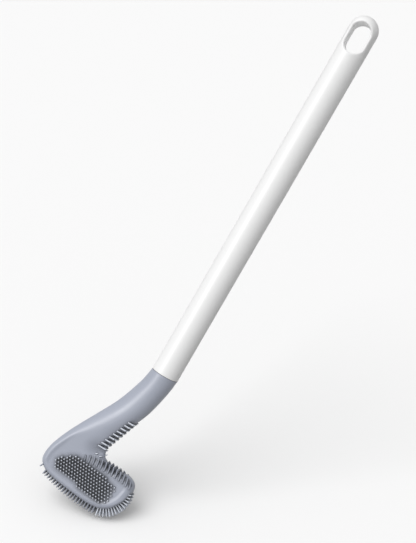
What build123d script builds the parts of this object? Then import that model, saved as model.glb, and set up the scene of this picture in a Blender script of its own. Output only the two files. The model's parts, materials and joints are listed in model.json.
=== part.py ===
from build123d import *
import os
from math import cos, degrees, hypot, pi, radians, sin, sqrt

# A silicone toilet brush in the shape of a golf club: a hollow handle with a hanging eye, a keyed
# socket bush in its mouth, and a head that pulls off it, made of a rigid core under a soft skin with
# fields of bristles.
# Design frame, in millimetres: the joint of handle and head is the origin, +Z runs up the handle,
# +X points from the heel to the toe, and the nubbed front face looks along -Y. At the end the stance
# leans the whole brush over, and its lowest bristles come down to z = 0.

# Stance: the handle leans this far from upright, towards this azimuth, and is turned on its own axis.
LEAN = 36.7
LEAN_TOWARDS = 33.7
TURN = -53.1

# Handle
HANDLE_LENGTH = 345.0
HANDLE_R_LOW = 12.1
HANDLE_R_TOP = 12.9
HANDLE_WALL = 2.2
HOLLOW_TOP = 304.0
EYE_WIDTH = 16.4
EYE_BOTTOM = 310.3
EYE_TOP = 337.7
EYE_ROUND = 1.2

# Socket bush and tang: a plain round fit with two keys that stop the head from turning.
SOCKET_LENGTH = 58.0
SOCKET_END = 2.0
TANG_R = 7.2
TANG_LENGTH = 55.0
TANG_LEAD = 1.2
KEY_WIDTH = 4.0
KEY_HEIGHT = 1.4
FIT = 0.08
JOINT_GAP = 0.2

# Neck of the skin: stations from the joint down into the blade. Each has the outer edge (heel side),
# the inner edge (underside), the half thickness and the squareness of its section.
NECK = (
    ((-12.1, -JOINT_GAP), (12.1, -JOINT_GAP), 12.1, 2.0),
    ((-15.5, -16.0), (10.1, -15.0), 11.7, 2.0),
    ((-22.7, -38.0), (3.4, -36.5), 10.7, 2.1),
    ((-32.5, -56.5), (-3.3, -54.0), 9.7, 2.3),
    ((-41.7, -72.5), (-9.0, -69.0), 8.9, 2.6),
    ((-47.4, -86.0), (-15.6, -79.0), 7.6, 2.8),
    ((-48.0, -96.0), (-19.5, -90.0), 6.0, 2.8),
)
SECTION_POINTS = 28

# Blade of the skin: its outline from the heel, along the sole, round the toe and back along the top
# edge to the inner corner, with both faces' edges rounded.
BLADE = ((-42.0, -81.0), (-50.8, -91.8), (-55.6, -104.0), (-57.0, -114.0), (-54.2, -121.5), (-46.0, -126.2),
         (-34.0, -128.6), (-19.0, -129.9), (-5.0, -130.5), (6.0, -129.6), (14.5, -125.8), (20.4, -119.5),
         (24.4, -111.5), (26.0, -102.5), (24.8, -96.2), (20.8, -92.3), (15.5, -90.8), (4.5, -92.1),
         (-5.5, -91.6), (-10.8, -88.8), (-13.4, -84.2), (-15.0, -78.5))
BLADE_THICK = 16.0
BLADE_ROUND = 4.5

# Core: stop collar, a bent round rod down the neck, and a plate in the blade with keying holes.
COLLAR_R = 10.2
COLLAR_THICK = 3.0
ROD_R = 5.0
ROD_PATH = ((0, 0), (-0.6, -17), (-37.0, -100.5))
ROD_BEND = 60
PLATE_THICK = 4.0
PLATE_CENTRE = (-15.5, -111.0)
PLATE_SIZE = (64.0, 23.0)
PLATE_CORNER = 9.0
PLATE_HOLE_R = 3.0
PLATE_HOLES = 5
PLATE_HOLE_PITCH = 11.5

# Bristle fields: round tapered pins on a thin strip at the surface of the skin.
PIN_TIP_R = 0.55
PIN_SINK = 0.6
NUB_R = 0.8
NUB_LENGTH = 3.0
NUB_PITCH = 2.9
NUB_FIELD_CENTRE = (-15.8, -110.2)
NUB_FIELD_SIZE = (55.0, 19.0)
NUB_FIELD_TILT = -3.5
NUB_FIELD_CORNER = 8.0
NUB_STRIP = 1.2
FACE_Y = 8.1
BRISTLE_R = 0.8
BRISTLE_LENGTH = 4.4
STRIP_THICK = 2.2
STRIP_PROUD = 0.2
STRIP_MARGIN = 1.2
ROW_PITCH = 3.3
SOLE_CENTRE = (-6.7, 47.5)
SOLE_R = 177.8
SOLE_ARC = (-103.4, -87.2)
SOLE_COUNT = 18
SOLE_ROWS = 4
TOE_CENTRE = (5.2, -109.2)
TOE_R = 21.0
TOE_ARC = (-82.0, 14.0)
TOE_COUNT = 13
TOE_ROWS = 4
TOP_SPAN = (-8.5, 19.5)
TOP_ROOT = -92.0
TOP_COUNT = 8
TOP_ROWS = 4
TOP_LENGTH = 2.6
NECK_START = (-2.6, -51.5)
NECK_END = (-12.2, -78.0)
NECK_COUNT = 9
NECK_ROWS = 3
NECK_LENGTH = 3.4
CORNER_AT = (-12.3, -86.6)
CORNER_SPAN = 5.0
CORNER_COUNT = 3
CORNER_ROWS = 3
CORNER_LENGTH = 3.0


def section(station):
    """The closed curve of one neck station: a superellipse, from a circle to a rounded slab."""
    (x_out, z_out), (x_in, z_in), half_thick, squareness = station
    half_width = hypot(x_in - x_out, z_in - z_out) / 2
    across = Vector(x_in - x_out, 0, z_in - z_out).normalized()
    middle = Vector((x_out + x_in) / 2, 0, (z_out + z_in) / 2)
    points = []
    for step in range(SECTION_POINTS):
        angle = 2 * pi * step / SECTION_POINTS
        side, depth = cos(angle), sin(angle)
        reach = (abs(side) ** squareness + abs(depth) ** squareness) ** (-1 / squareness)
        points.append(middle + across * (half_width * side * reach) + Vector(0, half_thick * depth * reach, 0))
    return Wire([Edge.make_spline(points, periodic=True)])


def turned(*points):
    """A solid of revolution about +Z from the corners (radius, z) of its half section."""
    return Solid.revolve(Face(Wire.make_polygon([(r, 0, z) for r, z in points])), 360, Axis.Z)


def handle_tube():
    """Hollow tapered tube, closed by a dome with the hanging eye through it."""
    dome_z = HANDLE_LENGTH - HANDLE_R_TOP
    side = Edge.make_line((HANDLE_R_LOW, 0, 0), (HANDLE_R_TOP, 0, dome_z))
    shoulder = (HANDLE_R_TOP / sqrt(2), 0, dome_z + HANDLE_R_TOP / sqrt(2))
    dome = Edge.make_three_point_arc((HANDLE_R_TOP, 0, dome_z), shoulder, (0, 0, HANDLE_LENGTH))
    foot = Edge.make_line((0, 0, 0), (HANDLE_R_LOW, 0, 0))
    axis = Edge.make_line((0, 0, HANDLE_LENGTH), (0, 0, 0))
    body = Solid.revolve(Face(Wire([foot, side, dome, axis])), 360, Axis.Z)
    bore_top = bore_radius(HOLLOW_TOP)
    body -= turned((0, 0), (bore_radius(0), 0), (bore_top, HOLLOW_TOP - bore_top), (0, HOLLOW_TOP))
    eye = Rot(0, 0, 90) * SlotOverall(EYE_TOP - EYE_BOTTOM, EYE_WIDTH)
    cutter = extrude(Plane.XZ * Pos(0, (EYE_TOP + EYE_BOTTOM) / 2) * eye, 2 * HANDLE_R_TOP, both=True)
    body -= cutter
    rim = [edge for edge in body.edges() if EYE_BOTTOM - 1 < edge.center().Z < EYE_TOP + 1
           and abs(edge.center().Y) > HANDLE_R_TOP / 4]
    return fillet(rim, EYE_ROUND)


def bore_radius(z):
    """The tapered bore keeps the tube's wall the same all the way up."""
    return HANDLE_R_LOW - HANDLE_WALL + (HANDLE_R_TOP - HANDLE_R_LOW) * z / HANDLE_LENGTH


def keyed_bar(radius, height, extra):
    """A round bar with two opposite keys; extra is added all round for a clearance."""
    keys = Box(2 * (TANG_R + KEY_HEIGHT + extra), KEY_WIDTH + 2 * extra, height)
    return Pos(0, 0, height / 2) * (Cylinder(radius + extra, height) + keys)


def socket_bush():
    """Bush fixed in the tube's mouth, closed at its inner end, with the keyed bore for the tang."""
    bush = turned((0, 0), (bore_radius(0), 0), (bore_radius(SOCKET_LENGTH), SOCKET_LENGTH), (0, SOCKET_LENGTH))
    return bush - keyed_bar(TANG_R, SOCKET_LENGTH - SOCKET_END, FIT)


def head_core():
    """Keyed tang, stop collar, bent rod and blade plate, moulded in one piece."""
    tang = keyed_bar(TANG_R, TANG_LENGTH, 0)
    tang = chamfer(tang.edges().group_by(Axis.Z)[-1], TANG_LEAD)
    collar = Pos(0, 0, -JOINT_GAP - COLLAR_THICK / 2) * Cylinder(COLLAR_R, COLLAR_THICK)
    root = Pos(0, 0, -JOINT_GAP) * Cylinder(TANG_R, 2 * JOINT_GAP)
    path = FilletPolyline(*[(x, 0, z) for x, z in ROD_PATH], radius=ROD_BEND)
    rod = sweep(Plane(path @ 0, z_dir=path % 0) * Circle(ROD_R), path)
    rod += Pos(ROD_PATH[-1][0], 0, ROD_PATH[-1][1]) * Sphere(ROD_R)
    outline = RectangleRounded(*PLATE_SIZE, PLATE_CORNER)
    reach = (PLATE_HOLES - 1) / 2
    for step in range(PLATE_HOLES):
        outline -= Pos((step - reach) * PLATE_HOLE_PITCH, 0) * Circle(PLATE_HOLE_R)
    plate = extrude(Plane.XZ * Pos(*PLATE_CENTRE) * outline, PLATE_THICK / 2, both=True)
    return tang + root + collar + rod + plate


def pin(foot, direction, length, root_r):
    """One tapered bristle, its foot sunk into the strip."""
    aim = Vector(*direction).normalized()
    start = Vector(*foot) - aim * PIN_SINK
    return Solid.make_cone(root_r, PIN_TIP_R, length + PIN_SINK, Plane(start, z_dir=aim))


def row_depths(rows):
    """The places in depth of the rows of a comb, centred on the blade."""
    return [(row - (rows - 1) / 2) * ROW_PITCH for row in range(rows)]


def comb(strip, feet, rows, length):
    """A strip and its pins; feet are (x, z, direction x, direction z) along the comb."""
    pins = []
    for depth in row_depths(rows):
        for x, z, aim_x, aim_z in feet:
            pins.append(pin((x, depth, z), (aim_x, 0, aim_z), length, BRISTLE_R))
    return strip, pins


def straight_comb(start, end, count, rows, length, aim):
    """A comb on a straight strip whose outer face lies along the line from start to end."""
    run = Vector(end[0] - start[0], 0, end[1] - start[1])
    along = run.normalized()
    outward = Vector(aim[0], 0, aim[1])
    outward = (outward - along * outward.dot(along)).normalized()
    middle = Vector((start[0] + end[0]) / 2, 0, (start[1] + end[1]) / 2)
    frame = Plane(middle + outward * (STRIP_PROUD - STRIP_THICK / 2), x_dir=along, z_dir=outward)
    width = rows * ROW_PITCH
    strip = frame * Box(run.length + 2 * STRIP_MARGIN, width, STRIP_THICK)
    feet = []
    for step in range(count):
        spot = Vector(start[0], 0, start[1]) + run * (step / (count - 1)) + outward * STRIP_PROUD
        feet.append((spot.X, spot.Z, aim[0], aim[1]))
    return comb(strip.solid(), feet, rows, length)


def arc_comb(centre, radius, arc, count, rows, length):
    """A comb on a strip that follows an arc of the head's outline, its pins square to the arc."""
    outer, inner = radius + STRIP_PROUD, radius + STRIP_PROUD - STRIP_THICK
    margin = degrees(STRIP_MARGIN / radius)
    spots = [[(centre[0] + r * cos(radians(a)), 0, centre[1] + r * sin(radians(a)))
              for a in (arc[0] - margin, sum(arc) / 2, arc[1] + margin)] for r in (outer, inner)]
    edges = [Edge.make_three_point_arc(*spots[0]), Edge.make_three_point_arc(*spots[1])]
    edges += [Edge.make_line(spots[0][end], spots[1][end]) for end in (0, 2)]
    strip = extrude(Face(Wire(edges)), rows * ROW_PITCH / 2, dir=(0, 1, 0), both=True)
    feet = []
    for step in range(count):
        angle = radians(arc[0] + (arc[1] - arc[0]) * step / (count - 1))
        aim = (cos(angle), sin(angle))
        feet.append((centre[0] + outer * aim[0], centre[1] + outer * aim[1], *aim))
    return comb(strip.solid(), feet, rows, length)


def nub_field(side):
    """The field of short nubs on one face of the blade; side is -1 for the front and 1 for the back."""
    outline = Rot(0, 0, NUB_FIELD_TILT) * RectangleRounded(*NUB_FIELD_SIZE, NUB_FIELD_CORNER)
    outline = Plane.XZ * Pos(*NUB_FIELD_CENTRE) * outline
    strip = Pos(0, side * (FACE_Y - NUB_STRIP / 2), 0) * extrude(outline, NUB_STRIP / 2, both=True)
    across, up = NUB_FIELD_SIZE[0] / 2 - NUB_R, NUB_FIELD_SIZE[1] / 2 - NUB_R
    row_step = NUB_PITCH * sqrt(3) / 2
    turn = radians(NUB_FIELD_TILT)
    pins = []
    rows = int(2 * up / row_step)
    for row in range(rows + 1):
        v = (row - rows / 2) * row_step
        columns = int(2 * across / NUB_PITCH) - row % 2
        for column in range(columns + 1):
            u = (column - columns / 2) * NUB_PITCH
            corner_u = abs(u) - across + NUB_FIELD_CORNER
            corner_v = abs(v) - up + NUB_FIELD_CORNER
            if min(corner_u, corner_v) > 0 and hypot(corner_u, corner_v) > NUB_FIELD_CORNER:
                continue
            x = NUB_FIELD_CENTRE[0] + u * cos(turn) - v * sin(turn)
            z = NUB_FIELD_CENTRE[1] + u * sin(turn) + v * cos(turn)
            pins.append(pin((x, side * FACE_Y, z), (0, side, 0), NUB_LENGTH, NUB_R))
    return strip.solid(), pins


def bristle_fields():
    """The strip and the pins of every bristle field of the head, by name."""
    aslant = 1 / sqrt(2)
    span = CORNER_SPAN / 2 * aslant
    x, z = CORNER_AT
    return {
        "front_nubs": nub_field(-1),
        "back_nubs": nub_field(1),
        "sole_bristles": arc_comb(SOLE_CENTRE, SOLE_R, SOLE_ARC, SOLE_COUNT, SOLE_ROWS, BRISTLE_LENGTH),
        "toe_bristles": arc_comb(TOE_CENTRE, TOE_R, TOE_ARC, TOE_COUNT, TOE_ROWS, BRISTLE_LENGTH),
        "top_edge_bristles": straight_comb((TOP_SPAN[0], TOP_ROOT), (TOP_SPAN[1], TOP_ROOT), TOP_COUNT,
                                           TOP_ROWS, TOP_LENGTH, (0, 1)),
        "corner_bristles": straight_comb((x - span, z + span), (x + span, z - span), CORNER_COUNT,
                                         CORNER_ROWS, CORNER_LENGTH, (aslant, aslant)),
        "neck_bristles": straight_comb(NECK_START, NECK_END, NECK_COUNT, NECK_ROWS, NECK_LENGTH, (1, 0)),
    }


def blade():
    """The blade before its pockets: the outline extruded, with the edges of both faces rounded."""
    outline = Edge.make_spline([(x, 0, z) for x, z in BLADE])
    across_neck = Edge.make_line(outline @ 1, outline @ 0)
    slab = extrude(Face(Wire([outline, across_neck])), BLADE_THICK / 2, dir=(0, 1, 0), both=True)
    return fillet(slab.edges().filter_by(GeomType.BSPLINE), BLADE_ROUND)


def head_skin(core, fields):
    """The soft over-moulded skin, hollow for the core and pocketed for both strips of nubs. The edge
    combs are moulded into it, so their strips share its material instead of lying in pockets."""
    skin = Solid.make_loft([section(station) for station in NECK]).fuse(blade().solid())
    for inset in (core, fields["front_nubs"][0], fields["back_nubs"][0]):
        skin -= inset
    return skin.solid()


def build():
    """All pieces by node name, in the design frame."""
    core = head_core()
    fields = bristle_fields()
    pieces = {"handle_tube": handle_tube(), "socket_bush": socket_bush(), "head_core": core,
              "head_skin": head_skin(core, fields)}
    return pieces | {name: strip.fuse(*pins) for name, (strip, pins) in fields.items()}


stance = Rot(0, 0, LEAN_TOWARDS) * Rot(0, LEAN, 0) * Rot(0, 0, TURN)
leaning = {name: stance * shape for name, shape in build().items()}
box = Compound(children=[Compound(shape.solids()) for shape in leaning.values()]).bounding_box()
drop = Pos(-box.center().X, -box.center().Y, -box.min.Z)
print("joint centre", [round(value, 3) for value in drop.position])
os.makedirs("parts", exist_ok=True)
for name, shape in leaning.items():
    export_step(drop * shape, f"parts/{name}.step")
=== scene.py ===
import bpy
import bmesh
import json
import math
import numpy as np
from mathutils import Matrix, Vector
from mathutils.bvhtree import BVHTree


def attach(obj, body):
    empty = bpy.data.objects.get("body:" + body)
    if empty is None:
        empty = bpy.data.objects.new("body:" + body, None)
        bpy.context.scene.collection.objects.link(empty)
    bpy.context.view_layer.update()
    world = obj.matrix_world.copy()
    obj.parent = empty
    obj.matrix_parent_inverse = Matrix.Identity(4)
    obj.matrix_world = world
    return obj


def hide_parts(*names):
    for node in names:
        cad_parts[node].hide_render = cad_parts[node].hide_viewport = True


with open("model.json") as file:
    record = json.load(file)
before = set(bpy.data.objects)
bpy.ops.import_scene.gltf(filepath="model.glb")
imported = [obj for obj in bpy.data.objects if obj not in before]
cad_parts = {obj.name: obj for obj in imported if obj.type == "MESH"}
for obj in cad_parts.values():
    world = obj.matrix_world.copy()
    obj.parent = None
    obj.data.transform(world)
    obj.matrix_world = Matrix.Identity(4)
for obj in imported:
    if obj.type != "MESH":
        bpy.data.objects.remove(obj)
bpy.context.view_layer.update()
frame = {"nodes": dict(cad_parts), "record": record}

# A toilet brush with a white tube handle and a soft grey head shaped like the head of a golf club.
# Shapes are worked out in the design frame: millimetres, origin in the joint of handle and head, +Z up
# the handle, +X from the heel to the toe, and the nubbed front face looking along -Y. place() then
# carries them into the row frame, in metres, where the handle leans.

# Stance in degrees, and the height of the hanging eye's middle above the joint, in mm.
LEAN, LEAN_TOWARDS, TURN = 36.7, 33.7, -53.1
EYE_MIDDLE = 324.0

STANCE = (Matrix.Rotation(math.radians(LEAN_TOWARDS), 3, "Z") @ Matrix.Rotation(math.radians(LEAN), 3, "Y")
          @ Matrix.Rotation(math.radians(TURN), 3, "Z"))
EYE = Vector(frame["record"]["mounts"][0]["pos_m"])
JOINT = EYE - STANCE @ Vector((0, 0, EYE_MIDDLE / 1000))
TURNING = np.array(STANCE)


def place(points):
    """Design-frame millimetres to row-frame metres."""
    return np.asarray(points, float) @ TURNING.T / 1000 + np.array(JOINT)


def aim_row(directions):
    """Design-frame directions to row-frame directions."""
    return np.asarray(directions, float) @ TURNING.T


# ---------------------------------------------------------------- materials

def srgb(code):
    """A linear colour from an sRGB hex code."""
    parts = [int(code[i:i + 2], 16) / 255 for i in (1, 3, 5)]
    return (*[c / 12.92 if c <= 0.04045 else ((c + 0.055) / 1.055) ** 2.4 for c in parts], 1)


def add(tree, kind, inputs=(), **settings):
    """A new node: settings are its properties, and inputs its sockets by name or number, each a value
    or an output socket to link from."""
    node = tree.nodes.new(kind)
    for name, value in settings.items():
        setattr(node, name, value)
    for key, value in dict(inputs).items():
        if isinstance(value, bpy.types.NodeSocket):
            tree.links.new(value, node.inputs[key])
        else:
            node.inputs[key].default_value = value
    return node


# Noise scales for a surface grain about 1.1 mm apart, drawn coarser than the real one so that it shows,
# and for slow changes of gloss about 22 mm apart.
GRAIN_SCALE, GRAIN_DETAIL, GRAIN_STRENGTH = 900.0, 3.0, 0.25
GLOSS_SCALE, GLOSS_DETAIL, GLOSS_SPREAD = 45.0, 2.0, 0.03
GLOSS_NOISE = (0.3, 0.7)
PLASTIC_IOR = 1.46
# Samples for the ambient occlusion that paints shade into enclosed spots.
PAINTED_SHADE_SAMPLES = 8


def plastic(name, colour, roughness, grain, painted_crevice_shade=None):
    """A moulded plastic or rubber: even colour with a fine surface grain of the given height in mm.
    Its last argument, when given, paints shade into the colour where a spot is closely enclosed, such as
    between bristles: the colour of that painted shade, how far off in metres the enclosing surfaces count,
    and how fast the painted shade sets in."""
    material = bpy.data.materials.new(name)
    material.use_nodes = True
    tree = material.node_tree
    tree.nodes.clear()
    place_on = add(tree, "ShaderNodeTexCoord").outputs["Object"]
    fine = add(tree, "ShaderNodeTexNoise", {"Vector": place_on, "Scale": GRAIN_SCALE, "Detail": GRAIN_DETAIL})
    broad = add(tree, "ShaderNodeTexNoise", {"Vector": place_on, "Scale": GLOSS_SCALE,
                                             "Detail": GLOSS_DETAIL})
    rough = add(tree, "ShaderNodeMapRange", {"Value": broad.outputs["Fac"], "From Min": GLOSS_NOISE[0],
                                             "From Max": GLOSS_NOISE[1], "To Min": roughness - GLOSS_SPREAD,
                                             "To Max": roughness + GLOSS_SPREAD})
    bump = add(tree, "ShaderNodeBump", {"Height": fine.outputs["Fac"], "Strength": GRAIN_STRENGTH,
                                        "Distance": grain / 1000})
    shader = add(tree, "ShaderNodeBsdfPrincipled", {"Roughness": rough.outputs["Result"],
                                                    "Normal": bump.outputs["Normal"], "IOR": PLASTIC_IOR})
    # Painted shade: ambient occlusion darkens the base colour where the surface is closely enclosed.
    if painted_crevice_shade:
        dark, distance, power = painted_crevice_shade
        light = add(tree, "ShaderNodeAmbientOcclusion", {"Distance": distance}, samples=PAINTED_SHADE_SAMPLES)
        lift = add(tree, "ShaderNodeMath", {0: light.outputs["AO"], 1: power}, operation="POWER")
        painted_shade_mix = add(tree, "ShaderNodeMix", {"Factor": lift.outputs["Value"], "A": srgb(dark),
                                           "B": srgb(colour)}, data_type="RGBA")
        tree.links.new(painted_shade_mix.outputs["Result"], shader.inputs["Base Color"])
    else:
        shader.inputs["Base Color"].default_value = srgb(colour)
    add(tree, "ShaderNodeOutputMaterial", {"Surface": shader.outputs["BSDF"]})
    return material


# Satin-gloss injection-moulded polypropylene of the handle.
WHITE = plastic("polypropylene, white, satin moulded", "#EBEBEB", 0.38, 0.004)
# Plain polypropylene of the bush inside the handle's mouth.
INNER = plastic("polypropylene, natural white, plain moulded", "#DEDEDC", 0.5, 0.006)
# Plain moulded polypropylene of the head's rigid core.
CORE = plastic("polypropylene, light grey, rigid core", "#C3C5C9", 0.5, 0.006)
# Thermoplastic rubber over-moulded on the core, with a satin surface. Shade is painted darker into its
# hollows and round the feet of the bristles.
SKIN = plastic("thermoplastic rubber, blue grey, over-moulded", "#A1A6B3", 0.36, 0.008,
               ("#141518", 0.005, 2.4))
# The same rubber in the nubs and the combs of the neck, corner and toe. Its colour is painted lighter than
# the skin's, a painted highlight that keeps the small round tips bright, and painted shade darkens their
# roots.
BRISTLE_PAINTED_LIGHT = plastic("thermoplastic rubber, blue grey, bristles", "#D2D7E2", 0.33, 0.004,
                  ("#08090A", 0.003, 2.4))
# The same rubber in the combs of the sole and the top edge. Its colour is painted darker than the skin's, as
# painted shade, and painted shade darkens the gaps between the bristles.
COMB_PAINTED_SHADE = plastic("thermoplastic rubber, blue grey, combs, painted shade", "#979CA9", 0.36, 0.004, ("#050607", 0.004, 2.8))


# ---------------------------------------------------------------- meshes

def smooth_curve(stations, steps):
    """Catmull-Rom points through the stations, steps to each span; the ends run on in a straight line,
    except that a last station of zero thickness is passed like a pole."""
    rows = np.array(stations, float)
    before, after = 2 * rows[0] - rows[1], 2 * rows[-1] - rows[-2]
    rows = np.vstack([before, rows, after])
    if stations[-1][4] == 0:
        rows[-1][[0, 2]] = rows[-3][[0, 2]]
    out = []
    for i in range(1, len(rows) - 2):
        p0, p1, p2, p3 = rows[i - 1:i + 3]
        for t in np.arange(steps) / steps:
            out.append(0.5 * (2 * p1 + (p2 - p0) * t + (2 * p0 - 5 * p1 + 4 * p2 - p3) * t ** 2
                              + (3 * p1 - p0 - 3 * p2 + p3) * t ** 3))
    return np.array(out + [rows[-2]])


def new_object(name, points, faces, material):
    """A mesh object in the row frame from design-frame points."""
    mesh = bpy.data.meshes.new(name)
    mesh.from_pydata(place(points).tolist(), [], faces)
    mesh.materials.append(material)
    obj = bpy.data.objects.new(name, mesh)
    bpy.context.scene.collection.objects.link(obj)
    shape = bmesh.new()
    shape.from_mesh(mesh)
    bmesh.ops.recalc_face_normals(shape, faces=shape.faces)
    shape.to_mesh(mesh)
    shape.free()
    mesh.shade_smooth()
    return obj


# ---------------------------------------------------------------- the skin of the head

# Stations from the joint round the bend, the heel and the sole to the toe. Each has its outer edge
# (x, z), its inner edge (x, z), its half thickness, how far its outer and inner edges are rounded, and
# how square the outer rounding is, 2 being an ellipse.
JOINT_GAP = 0.2
STATIONS = (
    (-12.1, -0.2, 12.1, -0.2, 12.1, 12.1, 12.1, 2.0),
    (-15.5, -16.0, 10.1, -15.0, 11.7, 14.0, 11.2, 2.0),
    (-23.5, -38.4, 4.7, -37.0, 10.8, 16.5, 11.0, 2.0),
    (-33.1, -56.8, -2.7, -54.3, 10.0, 17.5, 12.5, 2.1),
    (-41.7, -72.5, -9.0, -69.0, 9.3, 15.5, 16.5, 2.4),
    (-49.6, -88.0, -11.4, -79.5, 8.7, 10.0, 20.0, 2.5),
    (-55.6, -103.5, -10.9, -84.3, 8.3, 7.0, 17.0, 2.3),
    (-57.0, -115.0, -9.8, -87.1, 8.1, 6.4, 12.0, 2.1),
    (-54.4, -121.3, -8.8, -88.5, 8.0, 6.0, 10.0, 2.0),
    (-47.0, -125.9, -7.3, -89.7, 8.0, 6.0, 7.5, 2.0),
    (-35.0, -128.4, -5.0, -90.9, 8.0, 6.0, 7.0, 2.0),
    (-19.0, -129.9, -0.8, -91.8, 8.0, 6.0, 6.5, 2.0),
    (-5.0, -130.6, 4.5, -92.1, 8.0, 6.0, 6.0, 2.0),
    (6.0, -129.6, 10.5, -91.4, 8.0, 6.0, 6.0, 2.0),
    (11.1, -127.8, 11.1, -91.3, 8.0, 6.0, 6.0, 2.0),
    (16.7, -124.2, 16.7, -90.9, 7.95, 6.0, 6.0, 2.0),
    (21.1, -119.0, 21.1, -92.2, 7.7, 6.0, 6.0, 2.0),
    (24.3, -113.2, 24.3, -94.3, 6.6, 6.0, 6.0, 2.0),
    (26.2, -106.3, 26.2, -97.7, 4.4, 4.2, 4.2, 2.0),
    (26.8, -101.8, 26.8, -101.8, 0.0, 0.0, 0.0, 2.0),
)
SPAN_STEPS = 10
EDGE_STEPS = 12
FACE_STEPS = 26
# The least flat width, in mm, that the roundings leave between them.
LEAST_FLAT = 0.4
# The mouth round the core's collar: its bore, its depth and the rounding of its edge, in mm.
RIM_BORE = 10.25
RIM_DEPTH = 1.5
RIM_ROUND = 0.3
# The face is dished inside a raised rounded band that follows the outer edge, and a hollow falls
# away under the neck where it meets the blade.
BAND = 5.0
DISH = 0.8
DISH_EASE = 3.0
DISH_FADE_IN = (70, 105)
DISH_LIMIT = 0.8
# The rim of the dish follows the outer edge from this station on, and the inner edge of the last ones.
RIM_FIRST = 3
RIM_LAST = 6
HOLLOW_AT = (-17.5, -86.0)
HOLLOW_DEPTH = 3.2
HOLLOW_SIZE = 6.5


def section(row):
    """One ring of the skin: over the front from the outer edge to the inner one, back over the rear."""
    x_out, z_out, x_in, z_in, thick, round_out, round_in, square = row
    width = math.hypot(x_in - x_out, z_in - z_out)
    round_in = min(round_in, (width - LEAST_FLAT) / 2)
    round_out = min(round_out, width - round_in - LEAST_FLAT)
    turn = np.linspace(0, math.pi / 2, EDGE_STEPS + 1)
    flat = np.linspace(round_out, width - round_in, FACE_STEPS + 1)[1:-1]
    power = 2 / square
    outer, inner = 1 - np.cos(turn) ** power, 1 - np.cos(turn[::-1])
    along = np.concatenate([round_out * outer, flat, width - round_in * inner])
    depth = thick * np.concatenate([np.sin(turn) ** power, np.ones(len(flat)), np.sin(turn[::-1])])
    share = along / width if width > 0 else along * 0
    x, z = x_out + (x_in - x_out) * share, z_out + (z_in - z_out) * share
    front = np.stack([x, -depth, z], 1)
    rear = np.stack([x, depth, z], 1)[-2:0:-1]
    return np.vstack([front, rear])


def gap_to_line(points, line):
    """The distance in the x, z plane from each point to a polyline."""
    flat = points[:, [0, 2]]
    best = np.full(len(flat), np.inf)
    for start, end in zip(line[:-1], line[1:]):
        run = end - start
        share = np.clip((flat - start) @ run / max(run @ run, 1e-9), 0, 1)
        best = np.minimum(best, np.linalg.norm(flat - start - share[:, None] * run, axis=1))
    return best


def ease(value, low, high):
    """A smooth step from 0 at low to 1 at high."""
    share = np.clip((value - low) / (high - low), 0, 1)
    return share * share * (3 - 2 * share)


def skin_points():
    """All the rings of the skin, with the dish and the hollow pressed into both faces, the number of
    points in a ring, and the tip of the toe."""
    rows = smooth_curve(STATIONS, SPAN_STEPS)
    rings = [section(row) for row in rows[:-1]]
    points = np.vstack(rings)
    rim = np.vstack([rows[SPAN_STEPS * RIM_FIRST:, :2], rows[:-SPAN_STEPS * RIM_LAST:-1, 2:4]])
    dish = DISH * ease(gap_to_line(points, rim), BAND, BAND + DISH_EASE)
    dish *= ease(-points[:, 2], *DISH_FADE_IN)
    far = np.hypot(points[:, 0] - HOLLOW_AT[0], points[:, 2] - HOLLOW_AT[1])
    dish += HOLLOW_DEPTH * np.exp(-(far / HOLLOW_SIZE) ** 2)
    side = np.sign(points[:, 1])
    points[:, 1] -= side * np.minimum(dish, np.abs(points[:, 1]) * DISH_LIMIT)
    return points, len(rings[0]), rows[-1]


def skin_shape():
    """The points and faces of the skin: the mouth round the core, the rings and the tip of the toe. The
    shell is left open at the bottom of the mouth, where the core fills it."""
    points, count, pole = skin_points()
    turn = np.arctan2(points[:count, 1], points[:count, 0])
    mouth = []
    for radius, z in ((RIM_BORE, -JOINT_GAP - RIM_DEPTH), (RIM_BORE, -JOINT_GAP),
                      (STATIONS[0][4] - RIM_ROUND, -JOINT_GAP)):
        mouth.append(np.stack([radius * np.cos(turn), radius * np.sin(turn), np.full(count, z)], 1))
    points[:count, 2] -= RIM_ROUND
    points = np.vstack(mouth + [points, [[pole[0], 0, pole[1]]]])
    rings = (len(points) - 1) // count
    faces = []
    for ring in range(rings - 1):
        for i in range(count):
            j = (i + 1) % count
            a, b = ring * count, (ring + 1) * count
            faces.append((a + i, a + j, b + j, b + i))
    last = (rings - 1) * count
    faces += [(last + i, last + (i + 1) % count, len(points) - 1) for i in range(count)]
    return points, faces


skin_at, skin_faces = skin_shape()
skin = new_object("skin", skin_at, skin_faces, SKIN)
SURFACE = BVHTree.FromPolygons(skin_at.tolist(), skin_faces)


# ---------------------------------------------------------------- bristles

BRISTLE_INPUTS = (("Roots", "NodeSocketGeometry"), ("Length", "NodeSocketFloat"),
                  ("Root Radius", "NodeSocketFloat"), ("Tip Radius", "NodeSocketFloat"),
                  ("Bend", "NodeSocketFloat"), ("Length Spread", "NodeSocketFloat"),
                  ("Tilt Spread", "NodeSocketFloat"), ("Seed", "NodeSocketInt"),
                  ("Rubber", "NodeSocketMaterial"))
BRISTLE_SIDES, BRISTLE_SEGMENTS, TIP_RINGS = 10, 4, 6


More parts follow.
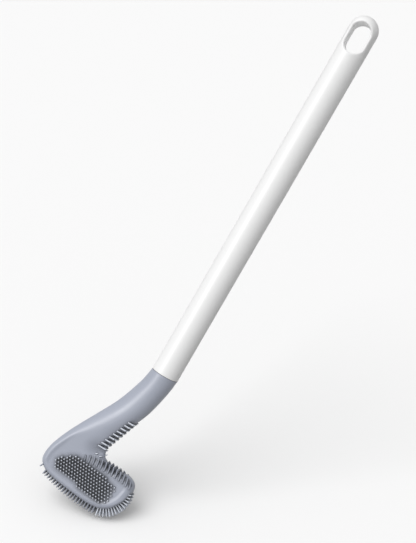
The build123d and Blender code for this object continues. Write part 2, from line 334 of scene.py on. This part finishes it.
def bristle_tree():
    """One tapered, slightly bent bristle stood on every root. Its foot is open under the skin, and its tip
    is a whole ball set in the end of the shaft. Each root carries the direction of its bristle (aim),
    the side it bends to (lean) and its share of the length (reach)."""
    tree = bpy.data.node_groups.new("bristles", "GeometryNodeTree")
    for name, kind in BRISTLE_INPUTS:
        tree.interface.new_socket(name, in_out="INPUT", socket_type=kind)
    tree.interface.new_socket("Bristles", in_out="OUTPUT", socket_type="NodeSocketGeometry")
    given = add(tree, "NodeGroupInput").outputs
    shaft = add(tree, "GeometryNodeMeshCone",
                {"Vertices": BRISTLE_SIDES, "Side Segments": BRISTLE_SEGMENTS,
                 "Radius Top": given["Tip Radius"], "Radius Bottom": given["Root Radius"],
                 "Depth": given["Length"]}, fill_type="NONE")
    knob = add(tree, "GeometryNodeMeshUVSphere", {"Segments": BRISTLE_SIDES, "Rings": TIP_RINGS,
                                                  "Radius": given["Tip Radius"]})
    top = add(tree, "ShaderNodeCombineXYZ", {"Z": given["Length"]})
    knob = add(tree, "GeometryNodeTransform", {"Geometry": knob.outputs["Mesh"],
                                               "Translation": top.outputs["Vector"]})
    one = add(tree, "GeometryNodeJoinGeometry", {"Geometry": shaft.outputs["Mesh"]})
    tree.links.new(knob.outputs["Geometry"], one.inputs["Geometry"])
    height = add(tree, "ShaderNodeSeparateXYZ", {"Vector": add(tree, "GeometryNodeInputPosition").outputs[0]})
    share = add(tree, "ShaderNodeMath", {0: height.outputs["Z"], 1: given["Length"]}, operation="DIVIDE")
    square = add(tree, "ShaderNodeMath", {0: share.outputs[0], 1: 2.0}, operation="POWER")
    swing = add(tree, "ShaderNodeMath", {0: square.outputs[0], 1: given["Bend"]}, operation="MULTIPLY")
    swing = add(tree, "ShaderNodeMath", {0: swing.outputs[0], 1: given["Length"]}, operation="MULTIPLY")
    shift = add(tree, "ShaderNodeCombineXYZ", {"X": swing.outputs[0]})
    one = add(tree, "GeometryNodeSetPosition", {"Geometry": one.outputs[0],
                                                "Offset": shift.outputs["Vector"]})
    aim = add(tree, "GeometryNodeInputNamedAttribute", {"Name": "aim"}, data_type="FLOAT_VECTOR")
    lean = add(tree, "GeometryNodeInputNamedAttribute", {"Name": "lean"}, data_type="FLOAT_VECTOR")
    reach = add(tree, "GeometryNodeInputNamedAttribute", {"Name": "reach"}, data_type="FLOAT")
    stand = add(tree, "FunctionNodeAxesToRotation", {0: aim.outputs["Attribute"],
                                                     1: lean.outputs["Attribute"]},
                primary_axis="Z", secondary_axis="X")
    low = add(tree, "ShaderNodeMath", {0: 0.0, 1: given["Tilt Spread"]}, operation="SUBTRACT")
    wobble = add(tree, "FunctionNodeRandomValue", {"Seed": given["Seed"]}, data_type="FLOAT_VECTOR")
    tree.links.new(low.outputs[0], wobble.inputs[0])
    tree.links.new(given["Tilt Spread"], wobble.inputs[1])
    turn = add(tree, "FunctionNodeRotateRotation", {"Rotation": stand.outputs[0],
                                                    "Rotate By": wobble.outputs[0]}, rotation_space="LOCAL")
    short = add(tree, "ShaderNodeMath", {0: 1.0, 1: given["Length Spread"]}, operation="SUBTRACT")
    vary = add(tree, "FunctionNodeRandomValue", {"Seed": given["Seed"], 2: short.outputs[0], 3: 1.0},
               data_type="FLOAT")
    long = add(tree, "ShaderNodeMath", {0: vary.outputs[1], 1: reach.outputs["Attribute"]},
               operation="MULTIPLY")
    size = add(tree, "ShaderNodeCombineXYZ", {"X": 1.0, "Y": 1.0, "Z": long.outputs[0]})
    spread = add(tree, "GeometryNodeInstanceOnPoints",
                 {"Points": given["Roots"], "Instance": one.outputs[0], "Rotation": turn.outputs[0],
                  "Scale": size.outputs[0]})
    real = add(tree, "GeometryNodeRealizeInstances", {0: spread.outputs[0]})
    soft = add(tree, "GeometryNodeSetShadeSmooth", {0: real.outputs[0]})
    done = add(tree, "GeometryNodeSetMaterial", {"Geometry": soft.outputs[0], "Material": given["Rubber"]})
    add(tree, "NodeGroupOutput", {0: done.outputs[0]})
    return tree


TREE = bristle_tree()
# How deep a bristle's foot sits under the skin, and a distance that is well outside the head, in mm.
SINK = 0.5
OUTSIDE = 30


def meet(start, aim):
    """Where a ray from start along aim first meets the skin."""
    spot = SURFACE.ray_cast(Vector(start), Vector(aim).normalized())[0]
    return np.array(spot) if spot else None


LENGTH_SPREAD = 0.04
TILT_SPREAD = 0.03


def grow(node, roots, length, rubber, seed, bend=0.0, root_r=0.75, tip_r=0.5):
    """The field of bristles that stands for a CAD node, its roots given as (foot, aim, lean, length) in
    the design frame. Sizes are in mm, and bend is the shift of the tip as a share of the length."""
    name = "soft_" + node
    feet, aims, leans, lengths = (np.array(part, float) for part in zip(*roots))
    feet = feet - aims * SINK
    mesh = bpy.data.meshes.new(name)
    mesh.from_pydata(place(feet).tolist(), [], [])
    for label, kind, field, values in (("aim", "FLOAT_VECTOR", "vector", aim_row(aims)),
                                       ("lean", "FLOAT_VECTOR", "vector", aim_row(leans)),
                                       ("reach", "FLOAT", "value", (lengths + SINK) / length)):
        layer = mesh.attributes.new(label, kind, "POINT")
        layer.data.foreach_set(field, np.asarray(values, np.float32).ravel())
    obj = bpy.data.objects.new(name, mesh)
    bpy.context.scene.collection.objects.link(obj)
    modifier = obj.modifiers.new("bristles", "NODES")
    modifier.node_group = TREE
    values = {"Length": length / 1000, "Root Radius": root_r / 1000, "Tip Radius": tip_r / 1000,
              "Bend": bend, "Length Spread": LENGTH_SPREAD, "Tilt Spread": TILT_SPREAD, "Seed": seed,
              "Rubber": rubber}
    for item in TREE.interface.items_tree:
        if item.name in values:
            modifier[item.identifier] = values[item.name]
    bpy.context.view_layer.update()
    made = obj.evaluated_get(bpy.context.evaluated_depsgraph_get())
    grown = bpy.data.meshes.new_from_object(made)
    obj.modifiers.clear()
    obj.data = grown
    grown.name = name
    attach(obj, "head")
    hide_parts(node)


# Nubs of both faces: a close hexagonal field inside an outline, shorter towards the toe.
NUB_PITCH = 2.9
NUB_TILT = -3.5
NUB_MIDDLE = (-15.8, -110.2)
NUB_LENGTH = 2.9
NUB_FADE = 0.8
NUB_FADE_SPAN = (5.0, 15.0)
NUB_ROWS, NUB_COLUMNS = 6, 12
NUB_OUTLINE = ((-44.4, -114.0), (-44.0, -109.4), (-34.4, -99.7), (-22.7, -98.4), (8.3, -101.9),
               (14.3, -105.2), (13.8, -118.0), (7.0, -121.8), (-24.5, -119.7), (-40.4, -117.6))


def inside(x, z, outline):
    """Whether a point lies inside a polygon that runs clockwise or anticlockwise."""
    crossings = 0
    for (x1, z1), (x2, z2) in zip(outline, outline[1:] + outline[:1]):
        if (z1 > z) != (z2 > z) and x < (x2 - x1) * (z - z1) / (z2 - z1) + x1:
            crossings += 1
    return crossings % 2 == 1


def nub_roots(side):
    """The nubs of one face; side is -1 for the front and 1 for the back."""
    roots = []
    turn = math.radians(NUB_TILT)
    step = NUB_PITCH * math.sqrt(3) / 2
    for row in range(-NUB_ROWS, NUB_ROWS + 1):
        for column in range(-NUB_COLUMNS, NUB_COLUMNS + 1):
            u, v = (column + 0.5 * (row % 2)) * NUB_PITCH, row * step
            x = NUB_MIDDLE[0] + u * math.cos(turn) - v * math.sin(turn)
            z = NUB_MIDDLE[1] + u * math.sin(turn) + v * math.cos(turn)
            if inside(x, z, NUB_OUTLINE):
                foot = meet((x, OUTSIDE * side, z), (0, -side, 0))
                fade = 1 - NUB_FADE * ease(x, *NUB_FADE_SPAN)
                roots.append((foot, (0, side, 0), (1, 0, 0), NUB_LENGTH * fade))
    return roots


# Top edge: the heights of the tips from the corner to the toe, and the depth and drop of each row.
TOP_X = (-22.1, 23.3)
TOP_COUNT = 13
TOP_REAR_DROP = 4.5
TOP_FRONT_ROOT = -96.8
TOP_ROWS = ((-5.0, 0.0), (-1.8, -0.2), (1.8, -0.3), (4.6, 0.6))
TOP_TIPS = (-94.5, -92.2, -90.4, -90.0, -90.0, -90.0, -90.0, -90.3, -91.0, -93.6)
TOP_LOWEST = -98.5
TOP_FORWARD = 0.05
TOP_SHORTEST = 0.7
# Under the neck the rays start lower, so that they don't start inside it.
TOP_START, TOP_START_UNDER_NECK, NECK_ENDS_X = -86.0, -90.0, -12


def top_roots():
    """Rows along the blade's top edge. The front ones stand on the rounded edge of the face and curl
    back to the heel; each row stops short of one height by its own drop."""
    roots = []
    columns = np.linspace(*TOP_X, TOP_COUNT)
    tips = np.interp(np.linspace(0, len(TOP_TIPS) - 1, TOP_COUNT), np.arange(len(TOP_TIPS)), TOP_TIPS)
    for side in (-1, 1):
        for x, tip in zip(columns, tips):
            low = TOP_FRONT_ROOT + min((tip - max(TOP_TIPS)) / 2, 0)
            foot = meet((x, OUTSIDE * side, low), (0, -side, 0))
            length = tip - low - TOP_REAR_DROP * (side > 0)
            roots.append((foot, (0, side * TOP_FORWARD, 1), (-1, 0, 0), length))
    for depth, drop in TOP_ROWS:
        for x, tip in zip(columns, tips):
            foot = meet((x, depth, TOP_START if x > NECK_ENDS_X else TOP_START_UNDER_NECK), (0, 0, -1))
            if foot is not None and foot[2] > TOP_LOWEST and tip - drop - foot[2] > TOP_SHORTEST:
                roots.append((foot, (0, 0, 1), (-1, 0, 0), tip - drop - foot[2]))
    return roots


NECK_COUNT = 9
NECK_Z = (-50.3, -81.3)
NECK_FRONT_ROOTS = (-5.1, -18.7)
NECK_FRONT_TIPS = (-0.6, -14.2)
NECK_ROWS = ((-4.8, 0.8), (-1.6, 0.2), (1.6, 0.2), (4.8, 1.2))
NECK_TIPS = (0.4, -11.0)
NECK_SHORTEST = 0.8


def neck_roots():
    """Rows along the underside of the neck, pointing to the toe, and one on the edge of each face."""
    roots = []
    heights = np.linspace(*NECK_Z, NECK_COUNT)
    for side in (-1, 1):
        for z, x, tip in zip(heights, np.linspace(*NECK_FRONT_ROOTS, NECK_COUNT),
                             np.linspace(*NECK_FRONT_TIPS, NECK_COUNT)):
            foot = meet((x, OUTSIDE * side, z), (0, -side, 0))
            roots.append((foot, (1, 0, 0), (0, side, 0), tip - x))
    for depth, drop in NECK_ROWS:
        for z, tip in zip(heights, np.linspace(*NECK_TIPS, NECK_COUNT)):
            foot = meet((OUTSIDE, depth, z), (-1, 0, 0))
            if foot is not None and tip - drop - foot[0] > NECK_SHORTEST:
                roots.append((foot, (1, 0, 0), (0, np.sign(depth), 0), tip - drop - foot[0]))
    return roots


CORNER_SPOTS = ((-11.8, -83.9), (-10.6, -87.4))
CORNER_ROWS = (-4.0, 0.0, 4.0)
CORNER_LENGTH = 1.3
CORNER_AIM = (0.7071, 0, 0.7071)
CORNER_OUTSIDE = 20


def corner_roots():
    """Short rows in the corner between the neck's comb and the top edge's."""
    roots = []
    aim = np.array(CORNER_AIM)
    for depth in CORNER_ROWS:
        for x, z in CORNER_SPOTS:
            foot = meet((x + CORNER_OUTSIDE, depth, z + CORNER_OUTSIDE), -aim)
            if foot is not None:
                roots.append((foot, aim, (0, 1, 0), CORNER_LENGTH))
    return roots


SOLE_X = (-48.5, 5.0)
SOLE_COUNT = 20
SOLE_STAGGER = 0.15
SOLE_ROWS = (-5.4, -1.8, 1.8, 5.4)
SOLE_CENTRE = (-6.7, 47.5)
SOLE_TIP_R = 181.9
SOLE_SHORTER = 1.3
SOLE_SHORTER_SPAN = (15.0, 50.0)
SOLE_LEVEL = -128.0
SOLE_SHORTEST = 2.0
# The lone bristle at the heel.
SOLE_FIRST = (-53.5, -123.5)
SOLE_FIRST_LENGTH = 3.2
SOLE_FIRST_RAY = (10, 0, 20)
SOLE_FIRST_AIM = (-0.55, 0, -1)


def sole_roots():
    """Rows along the sole, a little staggered, reaching down to one arc that is shorter at the heel."""
    roots = []
    pitch = (SOLE_X[1] - SOLE_X[0]) / (SOLE_COUNT - 1)
    for row, depth in enumerate(SOLE_ROWS):
        for x in np.linspace(*SOLE_X, SOLE_COUNT) + pitch * SOLE_STAGGER * (row % 2):
            aim = np.array((x - SOLE_CENTRE[0], 0, -SOLE_TIP_R))
            aim /= np.linalg.norm(aim)
            foot = meet(np.array((x, depth, SOLE_LEVEL)) + aim * OUTSIDE, -aim)
            if foot is not None:
                away = np.hypot(foot[0] - SOLE_CENTRE[0], foot[2] - SOLE_CENTRE[1])
                short = SOLE_SHORTER * ease(-x, *SOLE_SHORTER_SPAN)
                length = max(SOLE_TIP_R - short - away, SOLE_SHORTEST)
                roots.append((foot, aim, (0, np.sign(depth), 0), length))
    start = (SOLE_FIRST[0] - SOLE_FIRST_RAY[0], SOLE_ROWS[0], SOLE_FIRST[1] - SOLE_FIRST_RAY[2])
    roots.append((meet(start, SOLE_FIRST_RAY), SOLE_FIRST_AIM, (0, -1, 0), SOLE_FIRST_LENGTH))
    return roots


TOE_CENTRE = (5.2, -109.2)
TOE_ARC = (-80.0, 15.0)
TOE_COUNT = 14
TOE_ROWS = (-5.0, -1.7, 1.7, 5.0)
TOE_TIP_R = 24.8
TOE_SHORTER = 1.6
TOE_SHORTEST = 1.5
TOE_OUTSIDE = 45


def toe_roots():
    """Rows round the toe, pointing straight out."""
    roots = []
    for depth in TOE_ROWS:
        for share in np.linspace(0, 1, TOE_COUNT):
            angle = math.radians(TOE_ARC[0] + (TOE_ARC[1] - TOE_ARC[0]) * share)
            aim = np.array((math.cos(angle), 0, math.sin(angle)))
            start = np.array((TOE_CENTRE[0], depth, TOE_CENTRE[1]))
            foot = meet(start + aim * TOE_OUTSIDE, -aim)
            if foot is not None and foot[0] > TOE_CENTRE[0]:
                away = np.linalg.norm(foot - start)
                length = TOE_TIP_R - TOE_SHORTER * share - away
                roots.append((foot, aim, (0, np.sign(depth), 0), max(length, TOE_SHORTEST)))
    return roots


# Nubs and the neck, corner and toe combs take the rubber painted lighter; the sole and top-edge combs take it
# painted darker, as shade.
grow("front_nubs", nub_roots(-1), NUB_LENGTH, BRISTLE_PAINTED_LIGHT, seed=1, root_r=0.85, tip_r=0.66)
grow("back_nubs", nub_roots(1), NUB_LENGTH, BRISTLE_PAINTED_LIGHT, seed=2, root_r=0.85, tip_r=0.66)
grow("sole_bristles", sole_roots(), 5.0, COMB_PAINTED_SHADE, seed=3, bend=0.06)
grow("toe_bristles", toe_roots(), 4.5, BRISTLE_PAINTED_LIGHT, seed=4, bend=0.06)
grow("top_edge_bristles", top_roots(), 4.0, COMB_PAINTED_SHADE, seed=5, bend=0.28, root_r=0.95, tip_r=0.62)
grow("corner_bristles", corner_roots(), CORNER_LENGTH, BRISTLE_PAINTED_LIGHT, seed=6, bend=0.05)
grow("neck_bristles", neck_roots(), 4.5, BRISTLE_PAINTED_LIGHT, seed=7, bend=0.05, root_r=0.85, tip_r=0.62)

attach(skin, "head")
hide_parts("head_skin")


# ---------------------------------------------------------------- handle and inner pieces

# How near points are welded, in metres, and the edge angle above which shading turns sharp.
WELD = 1e-6
SHARP = math.radians(35)


def finer(node, name, body, material):
    """A welded, smooth-shaded copy of a CAD node, standing for it."""
    source = frame["nodes"][node]
    mesh = source.data.copy()
    mesh.name = name
    shape = bmesh.new()
    shape.from_mesh(mesh)
    bmesh.ops.remove_doubles(shape, verts=shape.verts, dist=WELD)
    shape.to_mesh(mesh)
    shape.free()
    mesh.materials.clear()
    mesh.materials.append(material)
    mesh.shade_smooth()
    mesh.set_sharp_from_angle(angle=SHARP)
    obj = bpy.data.objects.new(name, mesh)
    bpy.context.scene.collection.objects.link(obj)
    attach(obj, body)
    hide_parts(node)


finer("handle_tube", "handle", "handle", WHITE)
finer("socket_bush", "bush", "handle", INNER)
finer("head_core", "core", "head", CORE)


# ---------------------------------------------------------------- floor, light and camera

FLOOR_HALF = 40.0
floor_mesh = bpy.data.meshes.new("floor")
floor_mesh.from_pydata([(-FLOOR_HALF, -FLOOR_HALF, 0), (FLOOR_HALF, -FLOOR_HALF, 0),
                        (FLOOR_HALF, FLOOR_HALF, 0), (-FLOOR_HALF, FLOOR_HALF, 0)], [], [(0, 1, 2, 3)])
floor = bpy.data.objects.new("floor", floor_mesh)
bpy.context.scene.collection.objects.link(floor)
# Plain white studio paper.
paper = bpy.data.materials.new("studio paper, white")
paper.use_nodes = True
paper_shader = paper.node_tree.nodes["Principled BSDF"]
paper_shader.inputs["Base Color"].default_value = srgb("#F1F1F1")
paper_shader.inputs["Roughness"].default_value = 0.9
paper_shader.inputs["Specular IOR Level"].default_value = 0.0
floor_mesh.materials.append(paper)
# The floor throws no diffuse light back on the brush, which keeps its underside dark.
floor.visible_diffuse = False

# The studio: bright above and to the left of the camera, dim to the right and below. The camera itself
# sees one even backdrop.
GLOW_FROM = Vector((-0.40, -0.50, 0.77)).normalized()
GLOW_SPAN = (-0.6, 0.9)
GLOW_LEVELS = (0.17, 0.85)
BACKDROP_LEVEL = 0.94
world = bpy.data.worlds.new("studio")
world.use_nodes = True
sky = world.node_tree
sky.nodes.clear()
toward = add(sky, "ShaderNodeTexCoord").outputs["Generated"]
facing = add(sky, "ShaderNodeVectorMath", {0: toward, 1: GLOW_FROM}, operation="DOT_PRODUCT")
glow = add(sky, "ShaderNodeMapRange", {"Value": facing.outputs["Value"], "From Min": GLOW_SPAN[0],
                                       "From Max": GLOW_SPAN[1], "To Min": GLOW_LEVELS[0],
                                       "To Max": GLOW_LEVELS[1]}, interpolation_type="SMOOTHSTEP")
seen = add(sky, "ShaderNodeLightPath").outputs["Is Camera Ray"]
level = add(sky, "ShaderNodeMix", {"Factor": seen, "A": glow.outputs["Result"], "B": BACKDROP_LEVEL},
            data_type="FLOAT")
backdrop = add(sky, "ShaderNodeBackground", {"Color": (1, 1, 1, 1), "Strength": level.outputs["Result"]})
add(sky, "ShaderNodeOutputWorld", {"Surface": backdrop.outputs["Background"]})
bpy.context.scene.world = world


def sun(name, direction, strength, spread, sheen_only=False):
    """A broad soft light shining from a direction, the same all over the floor, with its spread in
    degrees. With sheen_only it gives no diffuse light, only the reflection of a softbox."""
    light = bpy.data.lights.new(name, "SUN")
    light.energy = strength
    light.angle = math.radians(spread)
    obj = bpy.data.objects.new(name, light)
    obj.rotation_euler = Vector(direction).to_track_quat("Z", "Y").to_euler()
    obj.visible_diffuse = not sheen_only
    bpy.context.scene.collection.objects.link(obj)


sun("key", (-0.37, -0.25, 1.0), 1.35, 46)
sun("softbox", (-0.68, -0.50, 0.54), 1.6, 24, sheen_only=True)

# The camera looks down by this angle, from a place given to the right of, above and behind the joint.
CAMERA_TILT = math.radians(28)
CAMERA_RIGHT, CAMERA_UP, CAMERA_BACK = 0.0363, 0.08755, 1.1475
LENS_MM, SENSOR_MM = 89.5, 36
RIGHT = Vector((1, 0, 0))
UP = Vector((0, math.sin(CAMERA_TILT), math.cos(CAMERA_TILT)))
BACK = Vector((0, -math.cos(CAMERA_TILT), math.sin(CAMERA_TILT)))
lens = bpy.data.cameras.new("camera")
lens.lens = LENS_MM
lens.sensor_width = SENSOR_MM
lens.clip_start = 0.05
lens.clip_end = 50
camera = bpy.data.objects.new("camera", lens)
camera.location = JOINT + RIGHT * CAMERA_RIGHT + UP * CAMERA_UP + BACK * CAMERA_BACK
camera.rotation_euler = (math.pi / 2 - CAMERA_TILT, 0, 0)
bpy.context.scene.collection.objects.link(camera)
bpy.context.scene.camera = camera
bpy.context.scene.view_settings.view_transform = "Standard"
